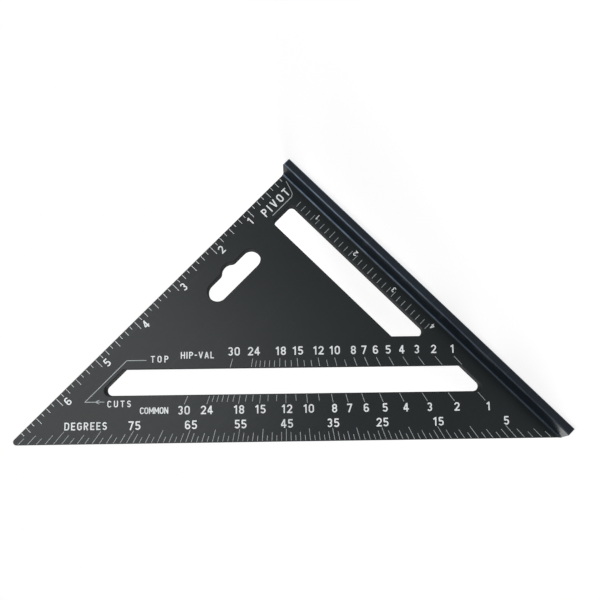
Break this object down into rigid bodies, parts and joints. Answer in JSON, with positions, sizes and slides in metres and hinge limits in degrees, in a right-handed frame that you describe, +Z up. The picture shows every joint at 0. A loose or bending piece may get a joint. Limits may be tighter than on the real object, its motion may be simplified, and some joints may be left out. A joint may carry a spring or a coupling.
{
  "type": "rafter square",
  "caption": "Flat triangular blade on a T-shaped fence, with edge and inner rulers, a degree arc, rafter scales, two marking slots and a hanging hole.",
  "frame": {"origin": "under the middle of the bounding box, on the surface that the outer face of the fence stands on", "axes": "+Z up, away from the fence along the ruler edge; +X towards the ruler edge, along the fence; -Y out of the face with the rafter scales"},
  "size_m": [0.183, 0.0234, 0.1847],
  "materials": {
    "blade": "black anodised, satin",
    "fence_rail": "black anodised, satin",
    "print": "white printed layer"
  },
  "bodies": {
    "root": {"back_degree_numerals": "print", "back_degree_ticks": "print", "back_ruler_numerals": "print", "back_ruler_ticks": "print", "blade": "blade", "common_legend": "print", "common_rafter_numerals": "print", "common_rafter_ticks": "print", "cuts_legend": "print", "degree_numerals": "print", "degree_ticks": "print", "degrees_legend": "print", "fence_rail": "fence_rail", "hip_valley_legend": "print", "hip_valley_numerals": "print", "hip_valley_ticks": "print", "inner_ruler_numerals": "print", "inner_ruler_ticks": "print", "pivot_legend": "print", "pivot_pointer": "print", "ruler_edge_numerals": "print", "ruler_edge_ticks": "print", "top_cuts_leader": "print", "top_legend": "print"}
  },
  "joints": []
}
